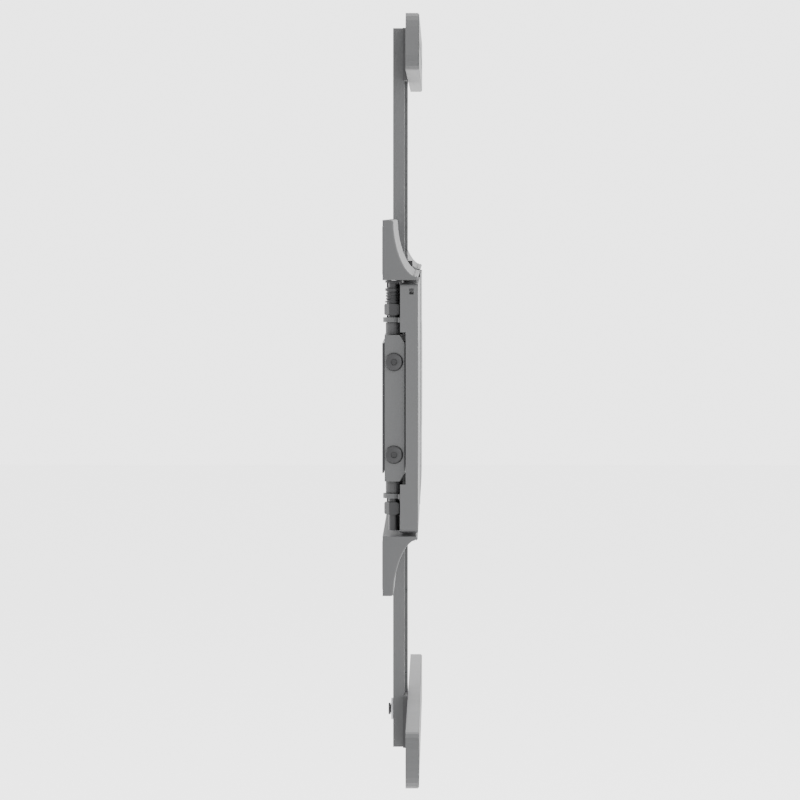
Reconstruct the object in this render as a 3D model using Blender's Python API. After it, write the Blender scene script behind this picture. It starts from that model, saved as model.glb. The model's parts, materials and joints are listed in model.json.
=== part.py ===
"""Slim full motion television wall mount, modelled folded flat against its wall.

Frame: X runs along the wall, Z is up and the wall is the plane Y = 0. The mount
stands out towards -Y, so a depth d in front of the wall is the place Y = -d.
Sizes are in millimetres in this file and become metres as each mesh is made.
"""
import math

import bmesh
import bpy
from mathutils import Matrix, Vector

MM = 0.001
GAP = 0.3

# Whole mount
HALF_WIDTH = 272.0
ARM_FRONT = 19.4
ROUND_SIDES = 24

# Wall plates
PLATE = 1.0
RAIL_PLATE = 2.0
PLATE_INNER = 39.0
PLATE_OUTER = 268.0
STEM_OUTER = 76.0
RAIL_LOW = 72.0
RAIL_HIGH = 98.0
REST_STRIP = 35.0
TIE_HALF_HEIGHT = 50.0
LAG_SLOT_CENTRES = (100.0, 155.0, 210.0)
LAG_SLOT_LENGTH = 38.0
LAG_SLOT_WIDTH = 8.0
LAG_SLOT_Z = 85.0

# Plastic covers, low outer edge to deep inner edge
COVER_LOW = 69.0
COVER_HIGH = 101.4
COVER_INNER = 38.4
COVER_WALL = 1.8
COVER_DEPTH_OUTER = 6.2
COVER_DEPTH_INNER = 19.3

# Arm pivots, all upright and all at the same depth
PIVOT_DEPTH = 6.4
WALL_PIVOT_X = 50.0
ELBOW_X = 261.0
BARREL = 5.1
PIN = 2.4
BORE = 3.0
BUSH_BORE = 3.9

# Inner arm, a channel open towards the wall
INNER_HALF = 39.5
INNER_BACK = 1.3
INNER_FRONT = 12.1
INNER_CHAMFER_Z = 4.5
INNER_CHAMFER_D = 2.7
INNER_SHEET = 1.8
CAP_OUTER = 269.6
CAP_THICK = 1.9
CAP_SCREW_Z = 25.0
CAP_SCREW_HEAD = 4.9
CAP_SCREW_RISE = 2.0

# Outer arm, a pressed pan open towards the wall
OUTER_HALF = 67.2
OUTER_BACK = 9.7
OUTER_SHEET = 1.6
OUTER_END = 1.3
NOTCH_HALF = 41.0
NOTCH_DEPTH = 12.7
ELBOW_EAR = (46.3, 48.9)

# Levels of the parts stacked on the pivots beside the middle
WALL_EAR = (39.9, 42.9)
YOKE_TAB_IN = (46.0, 48.5)
HEAD_BARREL = (48.9, 58.5)
YOKE_TAB_OUT = (58.9, 61.4)

# Head
YOKE_BACK = 2.4
YOKE_FRONT = 5.0
YOKE_REACH = 40.0
YOKE_STRIP = 35.0
YOKE_BAR_HALF = 25.0
SWIVEL_DEPTH = 8.0
SWIVEL_EAR = (15.0, 17.5)
SWIVEL_ROUND = 4.0
TILT_DEPTH = 14.0
TILT_ROUND = 3.0
TILT_LUG_HALF = 6.3

# Television bracket
SPINE_LOW = 66.0
SPINE_HIGH = 215.3
SPINE_HALF = 28.0
SPINE_BACK = 3.2
SPINE_FACE = 10.0
SPINE_SHEET = 1.6
RIB_HALF = 12.0
RIB_FRONT = 11.9
BRIDGE_HALF = 9.0
BRIDGE_BACK = 15.4
BRIDGE_FOOT = (64.0, 76.5)
BRIDGE_STRAP_END = 70.5
BRIDGE_FOOT_FRONT = 14.8
BRIDGE_SCREW = 72.5
SLIDE_SLOT = (138.0, 199.5)
SLIDE_SLOT_HALF = 3.5
RIB_NOTCHES = (90.0, 115.6, 165.6)

# Television arms
TV_ARM_Z = 200.0
TV_ARM_HALF = 15.85
TV_ARM_STRAIGHT = 200.0
TV_ARM_BACK = 12.1
TV_ARM_FRONT = 19.7
TV_ARM_SHEET = 1.6
TV_SLOT_CENTRES = (50.0, 100.0, 150.0, 192.0)
TV_SLOT_LENGTH = 22.0
TV_SLOT_WIDTH = 6.5
# Slots in a row sit this far off one line, so that no two edges are in line
SLOT_STAGGER = 0.15
CLAMP_Z = 195.5
SADDLE_OUTER = 33.0
SADDLE_BACK = 9.2
SADDLE_HALF = 16.0

# A local (u, v, w) frame for outlines: u and v in the outline, w its thickness
FACING_WALL = Matrix(((1, 0, 0), (0, 0, -1), (0, 1, 0))).to_4x4()
ACROSS = Matrix(((0, 0, -1), (-1, 0, 0), (0, 1, 0))).to_4x4()
UPRIGHT = Matrix(((1, 0, 0), (0, -1, 0), (0, 0, -1))).to_4x4()

FINISHES = {
    "charcoal_coat": ((0.060, 0.061, 0.063, 1.0), 0.45, 0.4),
    "cover_plastic": ((0.040, 0.041, 0.043, 1.0), 0.5, 0.0),
    "black_steel": ((0.012, 0.012, 0.013, 1.0), 0.4, 0.6),
    "black_plastic": ((0.008, 0.008, 0.009, 1.0), 0.55, 0.0),
    "zinc": ((0.45, 0.45, 0.46, 1.0), 0.35, 1.0),
}


def clear_scene():
    """Remove every object and collection that the file opened with."""
    for found in list(bpy.data.objects):
        bpy.data.objects.remove(found, do_unlink=True)
    for found in list(bpy.data.collections):
        bpy.data.collections.remove(found)


def make_collection(name):
    """Make a collection under the scene."""
    made = bpy.data.collections.new(name)
    bpy.context.scene.collection.children.link(made)
    return made


def make_material(name, colour, roughness, metallic):
    """Make a Principled material of one finish."""
    made = bpy.data.materials.new(name)
    made.use_nodes = True
    shader = made.node_tree.nodes["Principled BSDF"]
    shader.inputs["Base Color"].default_value = colour
    shader.inputs["Roughness"].default_value = roughness
    shader.inputs["Metallic"].default_value = metallic
    made.diffuse_color = colour
    return made


clear_scene()
PARTS = make_collection("full_motion_tv_wall_mount")
CUTTERS = make_collection("cutters")
MATERIALS = {name: make_material(name, *values) for name, values in FINISHES.items()}


def add_mesh(name, mesh, collection=CUTTERS):
    """Put a mesh in the scene as an object in one collection."""
    made = bpy.data.objects.new(name, mesh)
    collection.objects.link(made)
    return made


def box(low, high):
    """Make a box between two corners given as (x, depth, z)."""
    centre = [(a + b) / 2 for a, b in zip(low, high)]
    size = [abs(b - a) for a, b in zip(low, high)]
    scale = Matrix.Diagonal((size[0] * MM, size[1] * MM, size[2] * MM, 1.0))
    place = Matrix.Translation((centre[0] * MM, -centre[1] * MM, centre[2] * MM))
    work = bmesh.new()
    bmesh.ops.create_cube(work, size=1.0, matrix=place @ scale)
    mesh = bpy.data.meshes.new("box")
    work.to_mesh(mesh)
    work.free()
    return add_mesh("box", mesh)


def cone(radius_a, radius_b, start, end, axis, at, sides=ROUND_SIDES):
    """Make a round bar or cone along one axis.

    The bar runs from start to end along x, d (depth) or z, and at gives its
    two other places in the order x, d, z.
    """
    turn = {
        "x": Matrix.Rotation(math.pi / 2, 4, "Y"),
        "d": Matrix.Rotation(math.pi / 2, 4, "X"),
        "z": Matrix.Identity(4),
    }[axis]
    middle = (start + end) / 2
    centre = {
        "x": (middle, -at[0], at[1]),
        "d": (at[0], -middle, at[1]),
        "z": (at[0], -at[1], middle),
    }[axis]
    work = bmesh.new()
    bmesh.ops.create_cone(
        work,
        cap_ends=True,
        segments=sides,
        radius1=radius_a * MM,
        radius2=radius_b * MM,
        depth=abs(end - start) * MM,
        matrix=Matrix.Translation(Vector(centre) * MM) @ turn,
    )
    mesh = bpy.data.meshes.new("round")
    work.to_mesh(mesh)
    work.free()
    return add_mesh("round", mesh)


def rod(radius, start, end, axis, at, sides=ROUND_SIDES):
    """Make a round bar of one radius."""
    return cone(radius, radius, start, end, axis, at, sides)


def slab(outlines, low, high, frame):
    """Give closed outlines a thickness, the later ones being holes in the first.

    low and high are the two faces along the frame's third axis: the depth for
    FACING_WALL, x for ACROSS (outline in depth and z) and z for UPRIGHT
    (outline in x and depth).
    """
    flat = bpy.data.curves.new("outline", "CURVE")
    flat.dimensions = "2D"
    flat.fill_mode = "BOTH"
    flat.extrude = abs(high - low) / 2 * MM
    for outline in outlines:
        spline = flat.splines.new("POLY")
        spline.points.add(len(outline) - 1)
        for point, (u, v) in zip(spline.points, outline):
            point.co = (u * MM, v * MM, 0.0, 1.0)
        spline.use_cyclic_u = True
    drawn = add_mesh("outline", flat)
    middle = (low + high) / 2 * MM
    shift = {id(FACING_WALL): (0, -middle, 0), id(ACROSS): (middle, 0, 0),
             id(UPRIGHT): (0, 0, middle)}[id(frame)]
    bpy.context.view_layer.update()
    evaluated = drawn.evaluated_get(bpy.context.evaluated_depsgraph_get())
    mesh = bpy.data.meshes.new_from_object(evaluated)
    bpy.data.objects.remove(drawn, do_unlink=True)
    work = bmesh.new()
    work.from_mesh(mesh)
    bmesh.ops.remove_doubles(work, verts=work.verts, dist=0.000001)
    bmesh.ops.transform(work, matrix=Matrix.Translation(shift) @ frame, verts=work.verts)
    bmesh.ops.recalc_face_normals(work, faces=work.faces)
    work.to_mesh(mesh)
    work.free()
    return add_mesh("slab", mesh)


def arc(centre, radius, start, end, steps):
    """List the points of an arc, angles in degrees."""
    angles = [math.radians(start + (end - start) * i / steps) for i in range(steps + 1)]
    return [(centre[0] + radius * math.cos(a), centre[1] + radius * math.sin(a)) for a in angles]


def oblong(centre, straight, radius, steps=6, upright=False):
    """List the outline of a slot with round ends, straight being its flat run."""
    half = straight / 2
    points = arc((half, 0), radius, -90, 90, steps) + arc((-half, 0), radius, 90, 270, steps)
    if upright:
        points = [(-v, u) for u, v in points]
    return [(centre[0] + u, centre[1] + v) for u, v in points]


def rectangle(u_low, u_high, v_low, v_high):
    """List the four corners of a rectangle."""
    return [(u_low, v_low), (u_high, v_low), (u_high, v_high), (u_low, v_high)]


def combine(base, others, operation):
    """Join or cut a solid with others through Boolean modifiers."""
    for other in others:
        step = base.modifiers.new(operation.lower(), "BOOLEAN")
        step.operation = operation
        step.solver = "EXACT"
        step.object = other
        other.hide_render = True
        other.display_type = "WIRE"
        other.hide_set(False)
    return base


def settle(base, joins=(), cuts=()):
    """Join and cut a solid, then keep the result as a plain mesh."""
    combine(base, joins, "UNION")
    combine(base, cuts, "DIFFERENCE")
    bpy.context.view_layer.update()
    evaluated = base.evaluated_get(bpy.context.evaluated_depsgraph_get())
    mesh = bpy.data.meshes.new_from_object(evaluated)
    work = bmesh.new()
    work.from_mesh(mesh)
    bmesh.ops.remove_doubles(work, verts=work.verts, dist=0.0000002)
    work.to_mesh(mesh)
    work.free()
    for used in [base, *joins, *cuts]:
        bpy.data.objects.remove(used, do_unlink=True)
    return add_mesh("solid", mesh)


def flipped(solid):
    """Turn a solid into its mirror image below the middle."""
    work = bmesh.new()
    work.from_mesh(solid.data)
    bmesh.ops.transform(work, matrix=Matrix.Diagonal((1, 1, -1, 1)), verts=work.verts)
    bmesh.ops.reverse_faces(work, faces=work.faces)
    work.to_mesh(solid.data)
    work.free()
    return solid


def joint_empty(name, x, depth, z):
    """Stand an empty on a joint's axis, for the pieces that move about it."""
    made = bpy.data.objects.new(name, None)
    made.location = (x * MM, -depth * MM, z * MM)
    made.empty_display_size = 0.02
    PARTS.objects.link(made)
    bpy.context.view_layer.update()
    return made


def finish(name, solid, finish_name, axis):
    """Name a solid as a node, give it its finish and hang it on its joint's empty."""
    for user in list(solid.users_collection):
        user.objects.unlink(solid)
    PARTS.objects.link(solid)
    solid.name = name
    solid.data.name = name
    solid.data.materials.clear()
    solid.data.materials.append(MATERIALS[finish_name])
    solid.data.shade_smooth()
    solid.data.set_sharp_from_angle(angle=math.radians(30))
    solid.parent = axis
    solid.matrix_parent_inverse = axis.matrix_world.inverted()
    return solid


# ---------------------------------------------------------------- wall unit
def wall_plate(side):
    """A stamped plate: two stud rails, a stem, a rest strip and two pivot ears."""
    def span(a, b):
        return sorted((side * a, side * b))

    inner, outer = span(PLATE_INNER, PLATE_OUTER)
    strip = span(PLATE_INNER, PLATE_OUTER)
    stem = span(PLATE_INNER, STEM_OUTER)
    base = slab([rectangle(stem[0], stem[1], -RAIL_HIGH, RAIL_HIGH)], 0, PLATE, FACING_WALL)
    joins = [box((strip[0], 0, -REST_STRIP), (strip[1], PLATE, REST_STRIP))]
    for level in (1, -1):
        slots = [
            oblong((side * x, level * (LAG_SLOT_Z + i * SLOT_STAGGER)), LAG_SLOT_LENGTH - LAG_SLOT_WIDTH,
                   LAG_SLOT_WIDTH / 2)
            for i, x in enumerate(LAG_SLOT_CENTRES)
        ]
        z_low, z_high = sorted((level * RAIL_LOW, level * RAIL_HIGH))
        rail = [rectangle(inner, outer, z_low, z_high), *slots]
        joins.append(slab(rail, 0, RAIL_PLATE, FACING_WALL))
        ear = span(WALL_PIVOT_X - 8, WALL_PIVOT_X + 8)
        z_low, z_high = sorted((level * WALL_EAR[0], level * WALL_EAR[1]))
        joins.append(box((ear[0], 0.5, z_low), (ear[1], 11.6, z_high)))
    bore = rod(BORE, -50, 50, "z", (side * WALL_PIVOT_X, PIVOT_DEPTH))
    return settle(base, joins, [bore])


def cover_profile(level, inset):
    """List a cover's outline in depth and height.

    The back stands on the wall. The front starts shallow at the outer edge and
    sweeps forward in a quarter ellipse to the deep inner edge. An inset outline
    is the hollow's, and runs out through the back.
    """
    sweep_z = COVER_HIGH - COVER_LOW - 2.8
    sweep_d = COVER_DEPTH_INNER - COVER_DEPTH_OUTER
    back = 0.2 if inset == 0 else -1.0
    points = [(back, COVER_LOW + inset), (back, COVER_HIGH - inset)]
    points.append((COVER_DEPTH_OUTER - inset - 1.2, COVER_HIGH - inset))
    steps = 12
    for i in range(steps + 1):
        angle = math.radians(90 * i / steps)
        z = COVER_HIGH - 1.2 - sweep_z * math.sin(angle)
        d = COVER_DEPTH_OUTER + sweep_d * (1 - math.cos(angle)) ** 0.9
        points.append((d - inset, z - inset * 0.2))
    points.append((COVER_DEPTH_INNER - inset - 0.9, COVER_LOW + inset))
    if level < 0:
        points = [(d, -z) for d, z in points]
    return points


def cover(side, level):
    """A moulded cover: the profile drawn out, hollow, with both ends closed."""
    ends = sorted((side * COVER_INNER, side * HALF_WIDTH))
    body = slab([cover_profile(level, 0.0)], ends[0], ends[1], ACROSS)
    hollow_ends = (ends[0] + COVER_WALL, ends[1] - COVER_WALL)
    hollow = slab([cover_profile(level, COVER_WALL)], hollow_ends[0], hollow_ends[1], ACROSS)
    way_z = sorted((level * (COVER_LOW - 1), level * (COVER_HIGH - COVER_WALL)))
    way_x = sorted((side * (COVER_INNER - 1), side * (STEM_OUTER + 1)))
    way = box((way_x[0], -2, way_z[0]), (way_x[1], RAIL_PLATE + GAP, way_z[1]))
    return settle(body, [], [hollow, way])


def wall_pin(side):
    """The long pin that an inner arm turns on, with a low head at each end."""
    at = (side * WALL_PIVOT_X, PIVOT_DEPTH)
    shank = rod(PIN, -43.5, 43.5, "z", at)
    top = rod(3.8, WALL_EAR[1] + GAP, 44.6, "z", at)
    foot = rod(3.8, -44.6, -WALL_EAR[1] - GAP, "z", at)
    return settle(shank, [top, foot])


def wall_bush(side):
    """The plain bush pressed in the inner arm's barrel."""
    at = (side * WALL_PIVOT_X, PIVOT_DEPTH)
    end = INNER_HALF - 0.4
    body = rod(BUSH_BORE - GAP, -end, end, "z", at)
    return settle(body, [], [rod(PIN + 0.25, -end - 1, end + 1, "z", at)])


# ---------------------------------------------------------------- inner arm
def arm_outline(inset):
    """The inner arm's section: a flat channel with chamfered front corners."""
    half = INNER_HALF - inset
    front = INNER_FRONT - inset
    return [
        (INNER_BACK, -half),
        (front - INNER_CHAMFER_D, -half),
        (front, -half + INNER_CHAMFER_Z),
        (front, half - INNER_CHAMFER_Z),
        (front - INNER_CHAMFER_D, half),
        (INNER_BACK, half),
    ]


def inner_arm(side):
    """The channel, a barrel at each end and the block that takes the cap."""
    far = CAP_OUTER - CAP_THICK - GAP
    ends = sorted((side * (WALL_PIVOT_X + 6), side * far))
    channel = slab([arm_outline(0.0)], ends[0], ends[1], ACROSS)
    hollow_x = sorted((side * (WALL_PIVOT_X + 12), side * (ELBOW_X - 9)))
    half = INNER_HALF - INNER_SHEET
    hollow = box((hollow_x[0], -1, -half + 3), (hollow_x[1], INNER_FRONT - INNER_SHEET, half - 3))
    end = INNER_HALF - 0.2
    barrel = rod(BARREL, -end, end, "z", (side * WALL_PIVOT_X, PIVOT_DEPTH))
    neck_x = sorted((side * (WALL_PIVOT_X + 0.4), side * (WALL_PIVOT_X + 8.3)))
    neck = box((neck_x[0], 3.0, -INNER_HALF + 1), (neck_x[1], 9.8, INNER_HALF - 1))
    cuts = [
        hollow,
        rod(BUSH_BORE, -60, 60, "z", (side * WALL_PIVOT_X, PIVOT_DEPTH)),
        rod(3.5, -60, 60, "z", (side * ELBOW_X, PIVOT_DEPTH)),
    ]
    hole_x = sorted((side * (far + 1), side * (far - 2.0)))
    for z in (CAP_SCREW_Z, -CAP_SCREW_Z):
        cuts.append(rod(2.3, hole_x[0], hole_x[1], "x", (PIVOT_DEPTH, z), 16))
    return settle(channel, [barrel, neck], cuts)


def elbow_cap(side):
    """The flat cap on the arm's outer end."""
    ends = sorted((side * CAP_OUTER, side * (CAP_OUTER - CAP_THICK)))
    holes = [arc((PIVOT_DEPTH, z), 2.3, 0, 337.5, 15) for z in (CAP_SCREW_Z, -CAP_SCREW_Z)]
    return slab([arm_outline(0.0), *holes], ends[0], ends[1], ACROSS)


def cap_screws(side):
    """Two button head screws with a hexagon socket."""
    screws = []
    for z in (CAP_SCREW_Z, -CAP_SCREW_Z):
        seat = CAP_OUTER + 0.05
        crown = CAP_OUTER + CAP_SCREW_RISE
        radii = (CAP_SCREW_HEAD, 2.7) if side > 0 else (2.7, CAP_SCREW_HEAD)
        head_x = sorted((side * seat, side * crown))
        head = cone(radii[0], radii[1], head_x[0], head_x[1], "x", (PIVOT_DEPTH, z))
        shank_x = sorted((side * (seat + 0.5), side * (CAP_OUTER - 3.8)))
        shank = rod(2.0, shank_x[0], shank_x[1], "x", (PIVOT_DEPTH, z), 16)
        socket_x = sorted((side * (crown + 1), side * (crown - 1.3)))
        socket = rod(1.8, socket_x[0], socket_x[1], "x", (PIVOT_DEPTH, z), 6)
        screws.append(settle(head, [shank], [socket]))
    return screws


def ring(outer, inner, low, high, at, sides=ROUND_SIDES):
    """A flat ring round an upright pin."""
    body = rod(outer, low, high, "z", at, sides)
    return settle(body, [], [rod(inner, low - 1, high + 1, "z", at)])


def elbow_bolt(side):
    """The long bolt through the elbow, its low head at the top."""
    at = (side * ELBOW_X, PIVOT_DEPTH)
    shank = rod(3.0, -66.4, 67.8, "z", at)
    head = rod(4.9, 67.5, 68.7, "z", at)
    return settle(shank, [head])


def elbow_ring(side, low, high, outer, sides=ROUND_SIDES):
    """One ring on the elbow bolt."""
    return ring(outer, 3.3, low, high, (side * ELBOW_X, PIVOT_DEPTH), sides)


def elbow_springs(side):
    """A pack of disc springs between two thick washers, made as one ribbed sleeve."""
    at = (side * ELBOW_X, PIVOT_DEPTH)
    core = rod(4.0, 56.8, 65.1, "z", at)
    ribs = [rod(5.0, 57.2, 58.2, "z", at), rod(4.6, 59.2, 60.0, "z", at),
            rod(4.6, 61.0, 61.8, "z", at), rod(4.8, 63.0, 64.6, "z", at)]
    return settle(core, ribs, [rod(3.3, 50, 70, "z", at)])


# ---------------------------------------------------------------- outer arm
def outer_arm(side):
    """The pressed pan, two elbow ears and two barrels for the head."""
    elbow = side * ELBOW_X
    far = side * HALF_WIDTH
    near = side * (WALL_PIVOT_X - 3.0)
    pan_x = sorted((far, near))
    pan = slab([corner_outline(pan_x, OUTER_HALF, 3.0)], OUTER_BACK, ARM_FRONT, FACING_WALL)
    hollow_x = sorted((side * (HALF_WIDTH - OUTER_END), side * (WALL_PIVOT_X - 20)))
    half = OUTER_HALF - OUTER_SHEET
    hollow = box((hollow_x[0], 0, -half), (hollow_x[1], ARM_FRONT - OUTER_SHEET, half))
    notch_x = sorted((far + side, side * (HALF_WIDTH - 2)))
    notch = box((notch_x[0], 0, -NOTCH_HALF), (notch_x[1], NOTCH_DEPTH, NOTCH_HALF))
    port = box((notch_x[0], 14.6, 61.4), (notch_x[1], 17.0, 64.6))
    pan = settle(pan, [], [hollow, notch, port])
    joins = []
    bores = []
    web = ARM_FRONT - OUTER_SHEET / 2
    for level in (1, -1):
        low, high = sorted((level * ELBOW_EAR[0], level * ELBOW_EAR[1]))
        ear_x = sorted((side * (HALF_WIDTH - 0.6), side * (ELBOW_X - 9)))
        ear = slab([rectangle(ear_x[0], ear_x[1], 8.5, web)], low, high, UPRIGHT)
        knuckle = rod(6.0, low, high, "z", (elbow, PIVOT_DEPTH))
        joins.append(settle(ear, [knuckle]))
        low, high = sorted((level * HEAD_BARREL[0], level * HEAD_BARREL[1]))
        barrel = rod(BARREL, low, high, "z", (side * WALL_PIVOT_X, PIVOT_DEPTH))
        root_x = sorted((side * (WALL_PIVOT_X - 1), side * (WALL_PIVOT_X + 13)))
        root = slab([rectangle(root_x[0], root_x[1], PIVOT_DEPTH, web)], low, high, UPRIGHT)
        joins.append(settle(barrel, [root]))
    bores.append(rod(3.4, -100, 100, "z", (elbow, PIVOT_DEPTH)))
    bores.append(rod(BORE, -100, 100, "z", (side * WALL_PIVOT_X, PIVOT_DEPTH)))
    return settle(pan, joins, bores)


def corner_outline(x_range, half, radius):
    """A rectangle with four rounded corners, in x and z."""
    x_low, x_high = x_range
    points = arc((x_high - radius, half - radius), radius, 0, 90, 4)
    points += arc((x_low + radius, half - radius), radius, 90, 180, 4)
    points += arc((x_low + radius, -half + radius), radius, 180, 270, 4)
    points += arc((x_high - radius, -half + radius), radius, 270, 360, 4)
    return points


# ---------------------------------------------------------------- head
def head_yoke():
    """A bar and two strips, four pairs of tabs and two swivel ears."""
    bar = box((-YOKE_REACH, YOKE_BACK, -YOKE_BAR_HALF), (YOKE_REACH, YOKE_FRONT, YOKE_BAR_HALF))
    window = box((-4.7, 0, -20.2), (4.7, 9, 20.2))
    bar = settle(bar, [], [window])
    joins = []
    cuts = [rod(2.3, -60, 60, "z", (0, SWIVEL_DEPTH))]
    for side in (1, -1):
        strip_x = sorted((side * YOKE_STRIP, side * (YOKE_REACH + 0.2)))
        strip = box((strip_x[0], YOKE_BACK + 0.1, -YOKE_TAB_OUT[1]),
                    (strip_x[1], YOKE_FRONT + 0.1, YOKE_TAB_OUT[1]))
        joins.append(strip)
        cuts.append(rod(2.7, -100, 100, "z", (side * WALL_PIVOT_X, PIVOT_DEPTH)))
        for level in (1, -1):
            for tab in (YOKE_TAB_IN, YOKE_TAB_OUT):
                low, high = sorted((level * tab[0], level * tab[1]))
                tab_x = sorted((side * (YOKE_STRIP + 1), side * WALL_PIVOT_X))
                flat = box((tab_x[0], YOKE_BACK + 0.2, low), (tab_x[1], 10.4, high))
                eye = rod(4.0, low, high, "z", (side * WALL_PIVOT_X, PIVOT_DEPTH))
                joins.append(settle(flat, [eye]))
    for level in (1, -1):
        low, high = sorted((level * SWIVEL_EAR[0], level * SWIVEL_EAR[1]))
        flat = box((-7, YOKE_BACK + 0.3, low), (7, 6.2, high))
        flat = settle(flat, [box((-3.4, 5, low + 0.1), (3.4, SWIVEL_DEPTH, high - 0.1))])
        joins.append(settle(flat, [rod(SWIVEL_ROUND, low, high, "z", (0, SWIVEL_DEPTH))]))
    return settle(bar, joins, cuts)


def head_pins(side):
    """Two short pins through the tabs and the outer arm's barrels."""
    pins = []
    for level in (1, -1):
        at = (side * WALL_PIVOT_X, PIVOT_DEPTH)
        low, high = sorted((level * 45.4, level * 62.0))
        shank = rod(PIN, low, high, "z", at)
        low, high = sorted((level * (YOKE_TAB_OUT[1] + GAP), level * 63.2))
        pins.append(settle(shank, [rod(3.9, low, high, "z", at)]))
    return pins


def swivel_pin():
    """The pin that the swivel block turns on."""
    at = (0, SWIVEL_DEPTH)
    shank = rod(2.0, -19.2, 19.2, "z", at)
    return settle(shank, [rod(3.4, 17.8, 19.6, "z", at), rod(3.4, -19.6, -17.8, "z", at)])


def swivel_block():
    """An upright barrel with a lug in front that carries the tilt pin."""
    barrel = rod(3.7, -14.6, 14.6, "z", (0, SWIVEL_DEPTH))
    lug = box((-3.2, SWIVEL_DEPTH, -2.8), (3.2, TILT_DEPTH, 2.8))
    nose = rod(TILT_ROUND, -TILT_LUG_HALF, TILT_LUG_HALF, "x", (TILT_DEPTH, 0))
    cuts = [
        rod(2.3, -30, 30, "z", (0, SWIVEL_DEPTH)),
        rod(1.9, -30, 30, "x", (TILT_DEPTH, 0), 16),
    ]
    return settle(barrel, [lug, nose], cuts)


# ---------------------------------------------------------------- television bracket
def centre_bracket():
    """A strap that bridges the arms, with a foot on each spine and tilt ears."""
    strap = box((-BRIDGE_HALF, BRIDGE_BACK, -BRIDGE_STRAP_END),
                (BRIDGE_HALF, ARM_FRONT, BRIDGE_STRAP_END))
    joins = []
    cuts = [box((-6.6, 14, -4.5), (6.6, 17.4, 4.5))]
    for level in (1, -1):
        low, high = sorted((level * BRIDGE_FOOT[0], level * BRIDGE_FOOT[1]))
        riser_z = sorted((level * (BRIDGE_FOOT[0] + 0.2), level * (BRIDGE_STRAP_END - 0.3)))
        foot = box((-BRIDGE_HALF, RIB_FRONT + GAP, low), (BRIDGE_HALF, BRIDGE_FOOT_FRONT, high))
        riser = box((-BRIDGE_HALF + 0.1, RIB_FRONT + 1, riser_z[0]),
                    (BRIDGE_HALF - 0.1, BRIDGE_BACK + 1, riser_z[1]))
        joins.append(settle(foot, [riser]))
        cuts.append(rod(2.8, 10, 14.4, "d", (0, level * BRIDGE_SCREW), 16))
        ear_x = sorted((level * (TILT_LUG_HALF + GAP), level * BRIDGE_HALF))
        ear = box((ear_x[0], TILT_DEPTH, -3.4), (ear_x[1], 16, 3.4))
        joins.append(settle(ear, [rod(3.4, ear_x[0], ear_x[1], "x", (TILT_DEPTH, 0))]))
    cuts.append(rod(1.9, -30, 30, "x", (TILT_DEPTH, 0), 16))
    return settle(strap, joins, cuts)


def spine(level):
    """A channel open towards the wall, with a raised rib and a slide slot."""
    low, high = sorted((level * SPINE_LOW, level * SPINE_HIGH))
    body = box((-SPINE_HALF, SPINE_BACK, low), (SPINE_HALF, SPINE_FACE, high))
    rib = box((-RIB_HALF, SPINE_FACE - 1, low + 0.5), (RIB_HALF, RIB_FRONT, high - 0.5))
    inside = SPINE_HALF - SPINE_SHEET
    hollow = box((-inside, 0, low - 1 if level > 0 else low + SPINE_SHEET),
                 (inside, SPINE_FACE - SPINE_SHEET, high - SPINE_SHEET if level > 0 else high + 1))
    middle = level * (SLIDE_SLOT[0] + SLIDE_SLOT[1]) / 2
    run = SLIDE_SLOT[1] - SLIDE_SLOT[0] - 2 * SLIDE_SLOT_HALF
    slot = slab([oblong((0, middle), run, SLIDE_SLOT_HALF, 6, True)], 0, 14, FACING_WALL)
    cuts = [hollow, slot]
    cuts.append(rod(2.8, 0, 14, "d", (0, level * BRIDGE_SCREW), 16))
    for z in RIB_NOTCHES:
        for side in (1, -1):
            notch_x = sorted((side * (RIB_HALF - 2), side * (RIB_HALF + 1)))
            cuts.append(box((notch_x[0], SPINE_FACE + 0.2, level * z - 7.2),
                            (notch_x[1], 14, level * z + 7.2)))
    return settle(body, [rib], cuts)


def bracket_screw(level):
    """The screw that holds one of the strap's feet on its spine."""
    at = (0, level * BRIDGE_SCREW)
    shank = rod(2.5, 7, 14.0, "d", at, 16)
    return settle(shank, [rod(4.0, 5.0, SPINE_FACE - SPINE_SHEET - GAP, "d", at, 16)])


def tilt_pin():
    """The pin across the tilt ears, headed at one end."""
    shank = rod(1.6, -11.3, 10.4, "x", (TILT_DEPTH, 0), 16)
    return settle(shank, [rod(2.8, BRIDGE_HALF + GAP, 10.8, "x", (TILT_DEPTH, 0), 16)])


def tilt_nut():
    """The lock nut on the tilt pin."""
    nut = rod(2.8, -11.0, -BRIDGE_HALF - GAP, "x", (TILT_DEPTH, 0), 6)
    return settle(nut, [], [rod(1.8, -20, 0, "x", (TILT_DEPTH, 0), 16)])


# ---------------------------------------------------------------- television arms
def tv_arm():
    """A long pan with round ends, open towards the wall, slotted for the screws."""
    z = TV_ARM_Z
    run = TV_SLOT_LENGTH - TV_SLOT_WIDTH
    holes = [
        oblong((side * x, z + (i - 1.5 + side / 4) * SLOT_STAGGER), run, TV_SLOT_WIDTH / 2)
        for i, x in enumerate(TV_SLOT_CENTRES)
        for side in (1, -1)
    ]
    holes.append(arc((0, CLAMP_Z), 5.3, 0, 345, 23))
    outside = oblong((0, z), 2 * TV_ARM_STRAIGHT, TV_ARM_HALF, 12)
    inside = oblong((0, z), 2 * TV_ARM_STRAIGHT, TV_ARM_HALF - TV_ARM_SHEET, 12)
    face = oblong((0, z), 2 * TV_ARM_STRAIGHT, TV_ARM_HALF - 0.5, 12)
    rim = slab([outside, inside], TV_ARM_BACK, TV_ARM_FRONT - 0.5, FACING_WALL)
    web = slab([face, *holes], TV_ARM_FRONT - TV_ARM_SHEET, TV_ARM_FRONT, FACING_WALL)
    return settle(web, [rim], [])


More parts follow.
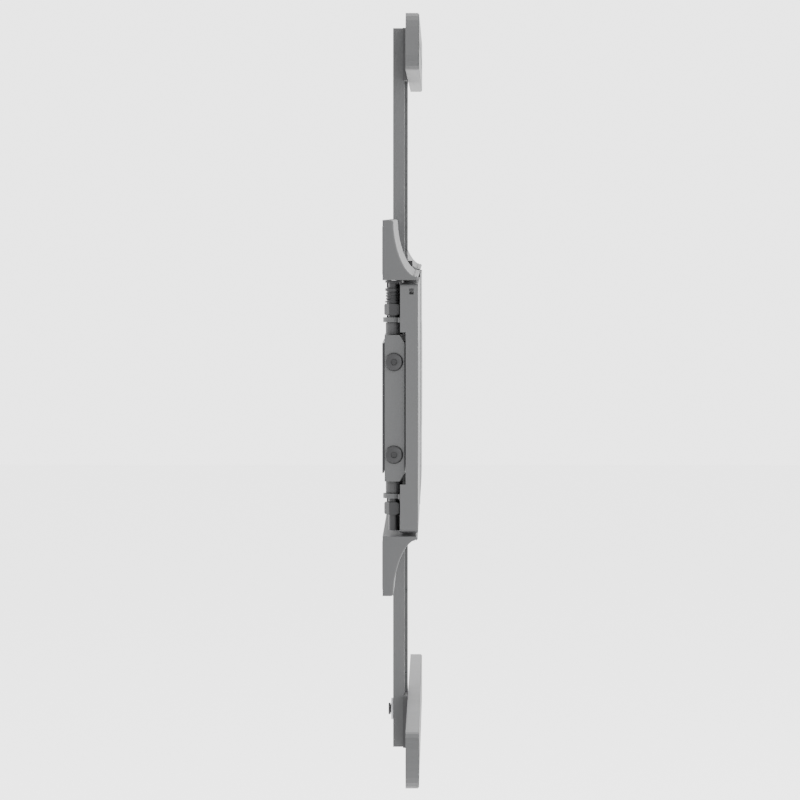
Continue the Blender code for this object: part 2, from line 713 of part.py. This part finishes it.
def saddles(level):
    """Two glide pads between a television arm and its spine."""
    low, high = sorted((level * (TV_ARM_Z - SADDLE_HALF), level * (TV_ARM_Z + SADDLE_HALF - 0.7)))
    pads = []
    for side in (1, -1):
        pad_x = sorted((side * (RIB_HALF + 0.5), side * SADDLE_OUTER))
        pad = box((pad_x[0], SPINE_FACE + GAP, low), (pad_x[1], TV_ARM_BACK - GAP, high))
        cheek_x = sorted((side * (SPINE_HALF + GAP), side * SADDLE_OUTER))
        cheek = box((cheek_x[0], SADDLE_BACK, low), (cheek_x[1], 11, high))
        pads.append(settle(pad, [cheek]))
    return pads


def clamp_bolt(level):
    """The flat headed bolt that clamps a television arm on its spine."""
    at = (0, level * CLAMP_Z)
    shank = rod(2.9, 6.0, 19.0, "d", at)
    return settle(shank, [rod(5.0, 18.2, 19.5, "d", at)])


def clamp_nut():
    """The hexagon nut behind the upper spine."""
    at = (0, CLAMP_Z)
    return settle(rod(6.0, 4.6, 8.1, "d", at, 6), [], [rod(3.2, 0, 20, "d", at)])


def lock_boss():
    """The threaded boss behind the lower spine that the lock knob turns in."""
    at = (0, -CLAMP_Z)
    return settle(rod(6.6, 1.8, 8.1, "d", at), [], [rod(3.2, 0, 20, "d", at)])


def lock_knob():
    """The small knob with its threaded end, on the back of the lower spine."""
    at = (0, -CLAMP_Z)
    return settle(rod(3.6, 0.1, 1.5, "d", at), [rod(2.6, 0.5, 5.7, "d", at)])


def build():
    """Build every piece, one body after another."""
    wall = joint_empty("axis_wall", 0, 0, 0)
    for side, word in ((-1, "left"), (1, "right")):
        finish(f"{word}_wall_plate", wall_plate(side), "black_steel", wall)
        finish(f"{word}_wall_pin", wall_pin(side), "zinc", wall)
        for level, height in ((1, "upper"), (-1, "lower")):
            shell = cover(side, -1) if level < 0 else flipped(cover(side, -1))
            finish(f"{height}_{word}_cover", shell, "cover_plastic", wall)
        inner = joint_empty(f"axis_{word}_wall_pivot", side * WALL_PIVOT_X, PIVOT_DEPTH, 0)
        finish(f"{word}_inner_arm", inner_arm(side), "charcoal_coat", inner)
        finish(f"{word}_pivot_bush", wall_bush(side), "black_plastic", inner)
        finish(f"{word}_elbow_cap", elbow_cap(side), "charcoal_coat", inner)
        finish(f"{word}_elbow_bolt", elbow_bolt(side), "black_steel", inner)
        finish(f"{word}_elbow_springs", elbow_springs(side), "black_steel", inner)
        for height, screw in zip(("upper", "lower"), cap_screws(side)):
            finish(f"{height}_{word}_cap_screw", screw, "black_steel", inner)
        finish(f"upper_{word}_elbow_tube", elbow_ring(side, 39.8, 46.0, 4.6), "black_plastic", inner)
        finish(f"lower_{word}_elbow_tube", elbow_ring(side, -46.0, -39.8, 4.6), "black_plastic", inner)
        finish(f"upper_{word}_elbow_nut", elbow_ring(side, 50.0, 56.2, 5.4, 6), "black_steel", inner)
        finish(f"lower_{word}_elbow_nut", elbow_ring(side, -57.7, -51.0, 5.4, 6), "black_steel", inner)
        elbow = joint_empty(f"axis_{word}_elbow", side * ELBOW_X, PIVOT_DEPTH, 0)
        finish(f"{word}_outer_arm", outer_arm(side), "charcoal_coat", elbow)
    low = (-PLATE_INNER + GAP, 0, -TIE_HALF_HEIGHT)
    high = (PLATE_INNER - GAP, PLATE, TIE_HALF_HEIGHT)
    finish("tie_plate", box(low, high), "black_steel", wall)

    head = joint_empty("axis_head", -WALL_PIVOT_X, PIVOT_DEPTH, 0)
    finish("head_yoke", head_yoke(), "black_steel", head)
    for side, word in ((-1, "left"), (1, "right")):
        for height, pin in zip(("upper", "lower"), head_pins(side)):
            finish(f"{height}_{word}_head_pin", pin, "zinc", head)
    finish("swivel_pin", swivel_pin(), "zinc", head)

    swivel = joint_empty("axis_swivel", 0, SWIVEL_DEPTH, 0)
    finish("swivel_block", swivel_block(), "black_steel", swivel)

    tilt = joint_empty("axis_tilt", 0, TILT_DEPTH, 0)
    finish("centre_bracket", centre_bracket(), "black_steel", tilt)
    finish("tilt_pin", tilt_pin(), "zinc", tilt)
    finish("tilt_nut", tilt_nut(), "zinc", tilt)

    for level, word in ((1, "upper"), (-1, "lower")):
        finish(f"{word}_spine", spine(level), "charcoal_coat", tilt)
        finish(f"{word}_bracket_screw", bracket_screw(level), "black_steel", tilt)
        slide = joint_empty(f"axis_{word}_slide", 0, SPINE_FACE, level * TV_ARM_Z)
        pan = tv_arm() if level > 0 else flipped(tv_arm())
        finish(f"{word}_tv_arm", pan, "charcoal_coat", slide)
        for side_word, pad in zip(("right", "left"), saddles(level)):
            finish(f"{word}_{side_word}_saddle", pad, "black_plastic", slide)
        finish(f"{word}_clamp_bolt", clamp_bolt(level), "black_steel", slide)
    finish("upper_clamp_nut", clamp_nut(), "zinc", bpy.data.objects["axis_upper_slide"])
    finish("lower_lock_boss", lock_boss(), "zinc", bpy.data.objects["axis_lower_slide"])
    knob = joint_empty("axis_knob", 0, 0, -CLAMP_Z)
    finish("lock_knob", lock_knob(), "black_plastic", knob)


build()
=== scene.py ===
"""Studio scene of a slim full motion television wall mount, folded flat."""

import json
import logging
import math
from dataclasses import dataclass
from enum import Enum
from typing import Callable, Sequence

import bmesh
import bpy
import numpy as np
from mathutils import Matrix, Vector


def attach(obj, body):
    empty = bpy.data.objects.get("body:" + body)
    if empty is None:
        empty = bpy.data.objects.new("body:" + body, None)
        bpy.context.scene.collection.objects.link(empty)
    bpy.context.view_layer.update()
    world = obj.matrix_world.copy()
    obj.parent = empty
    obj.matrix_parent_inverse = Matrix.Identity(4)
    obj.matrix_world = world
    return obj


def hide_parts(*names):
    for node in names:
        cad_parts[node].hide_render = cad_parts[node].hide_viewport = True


LOG = logging.getLogger("wall_mount")
MM = 0.001

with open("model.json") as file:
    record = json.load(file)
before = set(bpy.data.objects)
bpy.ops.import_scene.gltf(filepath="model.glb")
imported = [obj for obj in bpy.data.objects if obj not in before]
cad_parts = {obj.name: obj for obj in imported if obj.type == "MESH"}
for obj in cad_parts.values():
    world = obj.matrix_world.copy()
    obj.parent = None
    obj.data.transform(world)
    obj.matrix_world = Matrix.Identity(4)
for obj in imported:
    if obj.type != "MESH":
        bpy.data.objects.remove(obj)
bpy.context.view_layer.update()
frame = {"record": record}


class Side(Enum):
    """Which half of the mount a piece belongs to."""

    LEFT = -1
    RIGHT = 1

    @property
    def word(self) -> str:
        """The side's name as the nodes spell it."""
        return self.name.lower()


class Level(Enum):
    """Whether a piece is above or below the middle."""

    UPPER = 1
    LOWER = -1

    @property
    def word(self) -> str:
        """The level's name as the nodes spell it."""
        return self.name.lower()


class Sock:
    """A shader socket that takes part in Python arithmetic."""

    def __init__(self, tree: bpy.types.NodeTree, out: bpy.types.NodeSocket) -> None:
        """Keep the socket and its tree."""
        self.tree = tree
        self.out = out

    def math(self, operation: str, other: "Sock | float", flip: bool = False) -> "Sock":
        """Add one Math node.

        Args:
            operation: the Math node's operation.
            other: the second value.
            flip: put the other value first.

        Returns:
            The node's result.
        """
        made = self.tree.nodes.new("ShaderNodeMath")
        made.operation = operation
        order = (other, self) if flip else (self, other)
        for socket, value in zip(made.inputs, order):
            if isinstance(value, Sock):
                self.tree.links.new(value.out, socket)
            else:
                socket.default_value = value
        return Sock(self.tree, made.outputs[0])

    def __add__(self, other: "Sock | float") -> "Sock":
        """Add."""
        return self.math("ADD", other)

    def __mul__(self, other: "Sock | float") -> "Sock":
        """Multiply."""
        return self.math("MULTIPLY", other)

    def __rsub__(self, other: "Sock | float") -> "Sock":
        """Take this from a number."""
        return self.math("SUBTRACT", other, flip=True)

    __radd__ = __add__
    __rmul__ = __mul__


@dataclass(frozen=True)
class Coat:
    """One finish: a mottled base colour, a gloss that varies with it and a fine bump."""

    name: str
    colour: tuple[float, float, float]
    roughness: float
    metallic: float = 0.0
    coat: float = 0.0
    grain_scale: float = 900.0
    grain_depth: float = 0.00004
    mottle: float = 0.12
    brushed: bool = False
    mottle_scale: float = 26.0
    speck_scale: float = 170.0
    broad_share_of_gloss: float = 0.7
    broad_share_of_colour: float = 0.6
    grain_in_gloss: float = 0.06
    bump_strength: float = 0.6
    noise_roughness: float = 0.55
    brush_stretch: float = 14

    def node(self, tree: bpy.types.NodeTree, kind: str, settings: dict, sockets: dict) -> bpy.types.Node:
        """Add any node.

        Args:
            tree: the material's tree.
            kind: the node's type.
            settings: properties, set first.
            sockets: values or links by socket name.

        Returns:
            The new node.
        """
        made = tree.nodes.new(kind)
        for key, value in settings.items():
            setattr(made, key, value)
        for key, value in sockets.items():
            if isinstance(value, Sock):
                tree.links.new(value.out, made.inputs[key])
            else:
                made.inputs[key].default_value = value
        return made

    def build(self) -> bpy.types.Material:
        """Make the material.

        Returns:
            A procedural material that reads Object coordinates.
        """
        made = bpy.data.materials.new(self.name)
        made.use_nodes = True
        tree = made.node_tree
        shader = tree.nodes["Principled BSDF"]
        place = Sock(tree, tree.nodes.new("ShaderNodeTexCoord").outputs["Object"])
        if self.brushed:
            stretched = self.node(tree, "ShaderNodeMapping", {},
                                  {"Vector": place, "Scale": (1, 1, self.brush_stretch)})
            place = Sock(tree, stretched.outputs[0])
        fine = self.noise(tree, place, self.grain_scale, 3.0)
        broad = self.noise(tree, place, self.mottle_scale, 4.0)
        specks = self.noise(tree, place, self.speck_scale, 5.0)
        gloss_share = self.broad_share_of_gloss
        tone = (broad * gloss_share + specks * (1 - gloss_share)) * (2 * self.mottle) + (1 - self.mottle)
        dark = tuple(c * (1 - self.mottle) for c in self.colour) + (1.0,)
        light = tuple(min(c * (1 + self.mottle), 1.0) for c in self.colour) + (1.0,)
        mix = tree.nodes.new("ShaderNodeMix")
        mix.data_type = "RGBA"
        mix.inputs["A"].default_value = dark
        mix.inputs["B"].default_value = light
        blend = broad * self.broad_share_of_colour + specks * (1 - self.broad_share_of_colour)
        tree.links.new(blend.out, mix.inputs["Factor"])
        tree.links.new(mix.outputs["Result"], shader.inputs["Base Color"])
        rough = tone * self.roughness + (fine * self.grain_in_gloss)
        tree.links.new(rough.out, shader.inputs["Roughness"])
        shader.inputs["Metallic"].default_value = self.metallic
        shader.inputs["Coat Weight"].default_value = self.coat
        bump = self.node(tree, "ShaderNodeBump", {},
                         {"Height": fine, "Distance": self.grain_depth,
                          "Strength": self.bump_strength})
        tree.links.new(bump.outputs[0], shader.inputs["Normal"])
        made.diffuse_color = self.colour + (1.0,)
        return made

    def noise(self, tree: bpy.types.NodeTree, place: Sock, scale: float, detail: float) -> Sock:
        """Add a noise texture of one scale."""
        made = self.node(tree, "ShaderNodeTexNoise", {}, {"Vector": place, "Scale": scale,
                                                          "Detail": detail,
                                                          "Roughness": self.noise_roughness})
        return Sock(tree, made.outputs[0])


POWDER = Coat("charcoal_powder_coat", (0.024, 0.0245, 0.0255), 0.5, 0.0, 0.03, 1500.0, 0.00006)
MOULDED = Coat("moulded_cover", (0.021, 0.0215, 0.0225), 0.52, 0.0, 0.0, 2600.0, 0.00005)
BLACKED = Coat("blacked_steel", (0.013, 0.013, 0.014), 0.38, 0.5, 0.0, 1200.0, 0.00003, 0.25)
NYLON = Coat("black_nylon", (0.009, 0.009, 0.010), 0.55, 0.0, 0.0, 1800.0, 0.00003, 0.2)
PLATED = Coat("plated_steel", (0.30, 0.30, 0.31), 0.32, 1.0, 0.0, 500.0, 0.00002, 0.15, True)
BACKDROP = Coat("backdrop", (0.93, 0.93, 0.93), 0.9, 0.0, 0.0, 4.0, 0.0001, 0.01)

CAD_FINISHES = {
    "charcoal_coat": POWDER,
    "cover_plastic": MOULDED,
    "black_steel": BLACKED,
    "black_plastic": NYLON,
    "zinc": PLATED,
}


class Workshop:
    """Makes meshes from grids of points and keeps one material per finish."""

    def __init__(self) -> None:
        """Start with no materials."""
        self.made: dict[str, bpy.types.Material] = {}

    def material(self, coat: Coat) -> bpy.types.Material:
        """Give the finish's material, made once."""
        if coat.name not in self.made:
            self.made[coat.name] = coat.build()
        return self.made[coat.name]

    def grid(self, points: np.ndarray, around: bool = True, caps: bool = True) -> tuple[np.ndarray, list]:
        """Turn a grid into faces: rows along a path, columns round a section.

        Args:
            points: an array of rows, columns and three numbers, in millimetres.
            around: join the last column to the first.
            caps: close the first and last row with one face each.

        Returns:
            The vertices and the faces.
        """
        rows, columns = points.shape[:2]
        index = np.arange(rows * columns).reshape(rows, columns)
        right = np.roll(index, -1, axis=1) if around else index[:, 1:]
        base = index if around else index[:, :-1]
        quads = np.stack([base[:-1], right[:-1], right[1:], base[1:]], axis=-1).reshape(-1, 4)
        faces = quads.tolist()
        if caps:
            faces.append(index[0][::-1].tolist())
            faces.append(index[-1].tolist())
        return points.reshape(-1, 3), faces

    def solid(self, name: str, parts: Sequence[tuple[np.ndarray, list]], coat: Coat,
              body: str, smooth: float = 35.0) -> bpy.types.Object:
        """Join closed shells in one piece, dress it and hang it on its body.

        Args:
            name: the piece's name.
            parts: vertices in millimetres (x, depth, z) and faces of each shell.
            coat: the finish.
            body: the body it rides on.
            smooth: the angle in degrees above which an edge stays sharp.

        Returns:
            The finished piece.
        """
        vertices: list[np.ndarray] = []
        faces: list[list[int]] = []
        start = 0
        for points, quads in parts:
            vertices.append(points)
            faces += [[start + i for i in face] for face in quads]
            start += len(points)
        places = np.concatenate(vertices) * (MM, -MM, MM)
        mesh = bpy.data.meshes.new(name)
        mesh.from_pydata(places.tolist(), [], faces)
        mesh.update()
        self.face_outwards(mesh)
        mesh.shade_smooth()
        mesh.set_sharp_from_angle(angle=math.radians(smooth))
        mesh.materials.append(self.material(coat))
        piece = bpy.data.objects.new(name, mesh)
        bpy.context.scene.collection.objects.link(piece)
        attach(piece, body)
        LOG.info("made %s on %s", name, body)
        return piece

    def face_outwards(self, mesh: bpy.types.Mesh) -> None:
        """Recalculate the normals of closed shells.

        Args:
            mesh: the mesh to turn the right way out.
        """
        work = bmesh.new()
        work.from_mesh(mesh)
        bmesh.ops.recalc_face_normals(work, faces=work.faces)
        work.to_mesh(mesh)
        work.free()


def turned(profile: Sequence[tuple[float, float]], place: Callable, sides: int = 48,
           wave: Callable | None = None) -> np.ndarray:
    """Turn a profile: each (radius, along) becomes a ring, radius scaled by a wave.

    Args:
        profile: radius and distance along the axis.
        place: maps (radial u, radial v, along) to x, depth, z arrays.
        sides: points in a ring.
        wave: an optional factor on the radius as a function of the angle.

    Returns:
        A grid of rows by sides by three.
    """
    angle = np.linspace(0, 2 * np.pi, sides, endpoint=False)[None, :]
    radius = np.array([p[0] for p in profile])[:, None]
    along = np.array([p[1] for p in profile])[:, None] * np.ones_like(angle)
    factor = wave(angle, along) if wave else 1.0
    u = radius * np.cos(angle) * factor
    v = radius * np.sin(angle) * factor
    return np.stack(place(u, v, along), axis=-1)


@dataclass
class Covers:
    """The four moulded covers with their swept fronts."""

    low: float = 69.0
    high: float = 101.4
    shallow: float = 6.2
    deep: float = 19.3
    inner: float = 38.4
    outer: float = 272.0
    wall: float = 1.8
    corner: float = 1.4
    top_corner: float = 1.4
    fullness: float = 0.9
    unswept: float = 3.2
    inset_fall: float = 0.3
    back: float = 0.2
    overlap: float = 0.3
    plate_back: float = 2.3

    def section(self, inset: float) -> np.ndarray:
        """The outline in depth and height.

        The front is close to a quarter ellipse: depth grows as one less the cosine,
        raised to the fullness, while the height falls as the sine. The two corners
        are small arcs.

        Args:
            inset: how far the outline is drawn in, in millimetres.

        Returns:
            Points of depth and height.
        """
        sweep = np.radians(np.linspace(0, 90, 40))
        depth = self.shallow + (self.deep - self.shallow) * (1 - np.cos(sweep)) ** self.fullness - inset
        drop = self.high - self.low - self.unswept
        height = self.high - self.top_corner - drop * np.sin(sweep) - inset * self.inset_fall
        turn = np.radians(np.linspace(90, 0, 7))
        top_d = self.shallow - inset - self.top_corner + self.top_corner * np.cos(turn)
        top_z = self.high - inset - self.top_corner + self.top_corner * np.sin(turn)
        nose = np.radians(np.linspace(0, -90, 9))
        end_d = self.deep - inset - self.corner + self.corner * np.cos(nose)
        end_z = self.low + inset + self.corner + self.corner * np.sin(nose)
        d = np.concatenate([[self.back], top_d, depth[1:-1], end_d, [self.back]])
        z = np.concatenate([[self.high - inset], top_z, height[1:-1], end_z, [self.low + inset]])
        return np.stack([d, z], axis=-1)

    def rows(self, stations: Sequence[tuple[float, float]], side: Side, level: Level) -> np.ndarray:
        """Carry the section along x, inset at each station.

        Args:
            stations: distance from the middle and inset of each row.
            side: left or right.
            level: upper or lower.

        Returns:
            A grid of rows by points by three.
        """
        grids = []
        for x, inset in stations:
            flat = self.section(inset)
            ones = np.full(len(flat), side.value * x)
            grids.append(np.stack([ones, flat[:, 0], level.value * flat[:, 1]], axis=-1))
        return np.stack(grids)

    def channel(self, side: Side, level: Level) -> np.ndarray:
        """The thin wall between the ends: the outline out and back again.

        Args:
            side: left or right.
            level: upper or lower.

        Returns:
            A grid of two rows.
        """
        outside = self.section(0.0)
        inside = self.section(self.wall)[::-1]
        ring = np.concatenate([outside, inside])
        xs = (self.inner + self.wall - self.overlap, self.outer - self.wall + self.overlap)
        return np.stack([
            np.stack([np.full(len(ring), side.value * x), ring[:, 0], level.value * ring[:, 1]], axis=-1)
            for x in xs
        ])

    def build(self, shop: Workshop) -> None:
        """Make each cover as a thin wall and two end plates with eased rims.

        Args:
            shop: makes and dresses the meshes.
        """
        for side in Side:
            for level in Level:
                parts = [shop.grid(self.channel(side, level))]
                far = [(self.outer - self.wall, 0.0), (self.outer - 0.8, 0.0), (self.outer - 0.25, 0.16),
                       (self.outer - 0.05, 0.5), (self.outer, 0.9)]
                near = [(self.inner + self.wall, 0.0), (self.inner + 0.8, 0.0),
                        (self.inner + 0.25, 0.2), (self.inner, 0.8)]
                parts.append(shop.grid(self.rows(far, side, level)))
                plate = self.rows(near, side, level)
                plate[:, :, 1] = np.maximum(plate[:, :, 1], self.plate_back)
                parts.append(shop.grid(plate))
                name = f"{level.word}_{side.word}_cover_shell"
                piece = shop.solid(name, parts, MOULDED, "wall_unit", 40.0)
                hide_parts(f"{level.word}_{side.word}_cover")


@dataclass
class ElbowHardware:
    """Screws, nuts and spring packs at the two elbows."""

    x: float = 261.0
    depth: float = 6.4
    cap: float = 269.6
    screw_z: float = 25.0
    head: float = 4.9
    rise: float = 2.1
    bore: float = 3.3
    sleeve: float = 3.9
    spring_edge: float = 0.18
    nut_bore: float = 3.4
    nut_radius: float = 5.4
    flat_share: float = 0.866
    chamfer: float = 0.7
    upper_nut: tuple[float, float] = (50.0, 56.2)
    lower_nut: tuple[float, float] = (-57.7, -51.0)

    def upright(self, side: Side) -> Callable:
        """Place a turned shape on the elbow's upright axis."""
        return lambda u, v, w: (side.value * self.x + u, self.depth + v, w)

    def screw(self, side: Side, z: float) -> np.ndarray:
        """A button head: a dome, then down a round socket to its floor.

        Args:
            side: left or right.
            z: the screw's height in millimetres.

        Returns:
            A grid of rings.
        """
        dome = np.radians(np.linspace(0, 62, 12))
        profile = [(0.01, -0.9), (self.head - 0.4, -0.05), (self.head, 0.1)]
        profile += [(self.head * math.cos(a), 0.35 + (self.rise - 0.35) * math.sin(a) / math.sin(1.09))
                    for a in dome]
        profile += [(1.75, self.rise - 0.02), (1.65, self.rise - 0.2), (1.6, 0.7), (0.01, 0.55)]
        return turned(profile, lambda u, v, w: (side.value * (self.cap + 0.05 + w), self.depth + u, z + v))

    def pack(self, side: Side) -> list[np.ndarray]:
        """Washers and disc springs, each a rounded ring; springs wave in height.

        Args:
            side: left or right.

        Returns:
            One closed grid for each ring, and one for the sleeve in them.
        """
        rings = [(56.8, 57.7, 5.0, 0.0), (58.5, 59.2, 4.5, 0.25), (60.0, 60.7, 4.6, 0.25),
                 (61.5, 62.2, 4.5, 0.25), (63.0, 64.6, 4.9, 0.0)]
        grids = []
        for low, high, radius, wave in rings:
            edge = self.spring_edge
            profile = [(self.bore, low), (radius - edge, low), (radius, low + edge), (radius, high - edge),
                       (radius - edge, high), (self.bore, high), (self.bore, low)]
            grid = turned(profile, self.upright(side), 64)
            angle = np.linspace(0, 2 * np.pi, 64, endpoint=False)
            grid[:, :, 2] += wave * np.sin(4 * angle)[None, :]
            grids.append(grid)
        low, high = 56.9, 65.0
        sleeve = [(self.bore, low), (self.sleeve, low), (self.sleeve, high), (self.bore, high),
                  (self.bore, low)]
        grids.append(turned(sleeve, self.upright(side), 48))
        return grids

    def nut(self, side: Side, low: float, high: float) -> np.ndarray:
        """A chamfered hexagon nut: the radius follows the flats' secant.

        Args:
            side: left or right.
            low: height of the lower face in millimetres.
            high: height of the upper face in millimetres.

        Returns:
            A closed grid of rings.
        """
        def flats(angle: np.ndarray, along: np.ndarray) -> np.ndarray:
            """Six flats, cut by the chamfer near each face."""
            turn = (angle + np.pi / 6) % (np.pi / 3) - np.pi / 6
            hexagon = self.flat_share / np.cos(turn)
            limit = 0.9 + 0.1 * np.clip(np.minimum(along - low, high - along) / self.chamfer, 0, 1)
            return np.minimum(hexagon, limit)

        half = self.chamfer / 2
        heights = (low, low + half, low + self.chamfer, high - self.chamfer, high - half, high)
        rim = [(self.nut_radius, height) for height in heights]
        profile = [(self.nut_bore, low), *rim, (self.nut_bore, high), (self.nut_bore, low)]
        return turned(profile, self.upright(side), 72, flats)

    def build(self, shop: Workshop) -> None:
        """Make the hardware of both elbows.

        Args:
            shop: makes and dresses the meshes.
        """
        for side in Side:
            body = f"{side.word}_inner"
            for level in Level:
                grid = self.screw(side, level.value * self.screw_z)
                name = f"{level.word}_{side.word}_button_screw"
                piece = shop.solid(name, [shop.grid(grid)], BLACKED, body, 32.0)
                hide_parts(f"{level.word}_{side.word}_cap_screw")
                span = self.upper_nut if level is Level.UPPER else self.lower_nut
                nut = shop.solid(f"{level.word}_{side.word}_hex_nut",
                                 [shop.grid(self.nut(side, *span), caps=False)], BLACKED, body, 25.0)
                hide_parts(f"{level.word}_{side.word}_elbow_nut")
            rings = [shop.grid(grid, caps=False) for grid in self.pack(side)]
            piece = shop.solid(f"{side.word}_spring_pack", rings, BLACKED, body, 30.0)
            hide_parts(f"{side.word}_elbow_springs")


@dataclass
class Knob:
    """The small lock knob with a rippled rim."""

    z: float = -195.5
    radius: float = 3.6
    shank: float = 2.6
    ease: float = 0.3
    ripple: float = 0.025
    ribs: int = 18

    def build(self, shop: Workshop) -> None:
        """Turn the knob with a fine ripple round its rim.

        Args:
            shop: makes and dresses the mesh.
        """
        rim = self.radius - self.ease
        profile = [(0.01, 5.7), (self.shank, 5.7), (self.shank, 1.5), (rim, 1.5), (self.radius, 1.2),
                   (self.radius, 0.4), (rim, 0.1), (0.01, 0.1)]
        grid = turned(profile, lambda u, v, w: (u, w, self.z + v), 72,
                      lambda angle, along: 1 + self.ripple * np.cos(self.ribs * angle) * (along < 1.4)
                      - self.ripple)
        piece = shop.solid("ribbed_lock_knob", [shop.grid(grid)], NYLON, "knob", 30.0)
        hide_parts("lock_knob")


@dataclass
class PressedBeads:
    """Raised oval beads pressed in the outer arms' fronts."""

    front: float = 19.35
    rise: float = 0.3
    half_width: float = 1.4
    root: float = 0.4
    middle: float = 160.0
    half_length: float = 62.0
    radius: float = 34.0

    def bead(self, centre: float, half: float, radius: float) -> np.ndarray:
        """A low half round rib carried round an oblong path.

        Args:
            centre: the oblong's middle along x in millimetres.
            half: half its straight length.
            radius: the radius of its ends.

        Returns:
            A grid of sections.
        """
        turn = np.linspace(0, 2 * np.pi, 96, endpoint=False)
        px = centre + np.sign(np.cos(turn)) * half + radius * np.cos(turn)
        pz = radius * np.sin(turn)
        bow = np.linspace(0, np.pi, 9)
        out = np.concatenate([self.half_width * np.cos(bow), [-self.half_width, self.half_width]])
        lift = np.concatenate([self.rise * np.sin(bow), [-self.root, -self.root]])
        nx, nz = np.cos(turn)[:, None], np.sin(turn)[:, None]
        x = px[:, None] + nx * out[None, :]
        z = pz[:, None] + nz * out[None, :]
        d = self.front + lift[None, :] * np.ones_like(x)
        return np.stack([x, d, z], axis=-1)

    def build(self, shop: Workshop) -> None:
        """Put one long bead on each outer arm.

        Args:
            shop: makes and dresses the meshes.
        """
        for side in Side:
            grid = self.bead(side.value * self.middle, self.half_length, self.radius)
            closed = np.concatenate([grid, grid[:1]])
            shop.solid(f"{side.word}_pressed_bead", [shop.grid(closed, caps=False)], POWDER,
                       f"{side.word}_outer", 40.0)


def dress_frame(shop: Workshop) -> None:
    """Give every CAD node the material of its slot.

    Args:
        shop: makes the materials.
    """
    for row in frame["record"]["subparts"]:
        node = bpy.data.objects.get(row["node"])
        if node is None:
            continue
        material = shop.material(CAD_FINISHES[row["material_slot"]])
        if not node.material_slots:
            node.data.materials.append(material)
        for held in node.material_slots:
            held.material = material


@dataclass
class Studio:
    """Floor, lights, world and camera."""

    eye: tuple[float, float, float] = (-2.446, -0.0301, 0.1047)
    aim: tuple[float, float, float] = (-0.2, -0.009, 0.0013)
    lens: float = 182.0
    world_strength: float = 3.4
    floor_z: float = -0.42
    floor_half: float = 6.0

    def lamp(self, name: str, place: tuple, size: float, power: float) -> None:
        """Add a soft square lamp that faces the mount.

        Args:
            name: the lamp's name.
            place: its position in metres.
            size: its side in metres.
            power: its power in watts.
        """
        data = bpy.data.lights.new(name, "AREA")
        data.size = size
        data.energy = power
        lamp = bpy.data.objects.new(name, data)
        lamp.location = place
        lamp.rotation_euler = (-Vector(place)).to_track_quat("-Z", "Y").to_euler()
        bpy.context.scene.collection.objects.link(lamp)

    def build(self, shop: Workshop) -> None:
        """Set up the camera, the world, the lamps and the floor.

        Args:
            shop: makes the floor's material.
        """
        data = bpy.data.cameras.new("camera")
        data.lens = self.lens
        data.clip_start = 0.05
        camera = bpy.data.objects.new("camera", data)
        camera.location = self.eye
        camera.rotation_euler = (Vector(self.aim) - Vector(self.eye)).to_track_quat("-Z", "Y").to_euler()
        bpy.context.scene.collection.objects.link(camera)
        bpy.context.scene.camera = camera
        world = bpy.data.worlds.new("studio")
        world.use_nodes = True
        world.node_tree.nodes["Background"].inputs["Color"].default_value = (1, 1, 1, 1)
        world.node_tree.nodes["Background"].inputs["Strength"].default_value = self.world_strength
        bpy.context.scene.world = world
        self.lamp("front", place=(-0.6, -2.2, 0.8), size=1.2, power=120.0)
        self.lamp("side", place=(-2.2, -0.8, 1.2), size=1.4, power=6.0)
        self.lamp("back", place=(0.8, 1.8, 1.0), size=1.2, power=14.0)
        across = np.array([-self.floor_half, self.floor_half])
        x, y = np.meshgrid(across, across)
        points = np.stack([x, y, np.full_like(x, self.floor_z)], axis=-1).reshape(-1, 3)
        mesh = bpy.data.meshes.new("floor")
        mesh.from_pydata(points.tolist(), [], [[0, 1, 3, 2]])
        mesh.materials.append(shop.material(BACKDROP))
        floor = bpy.data.objects.new("floor", mesh)
        bpy.context.scene.collection.objects.link(floor)


def main() -> None:
    """Build the studio and every piece in order."""
    logging.basicConfig(level=logging.INFO)
    shop = Workshop()
    Studio().build(shop)
    dress_frame(shop)
    for part in (Covers(), ElbowHardware(), Knob(), PressedBeads()):
        part.build(shop)


if __name__ == "__main__":
    main()
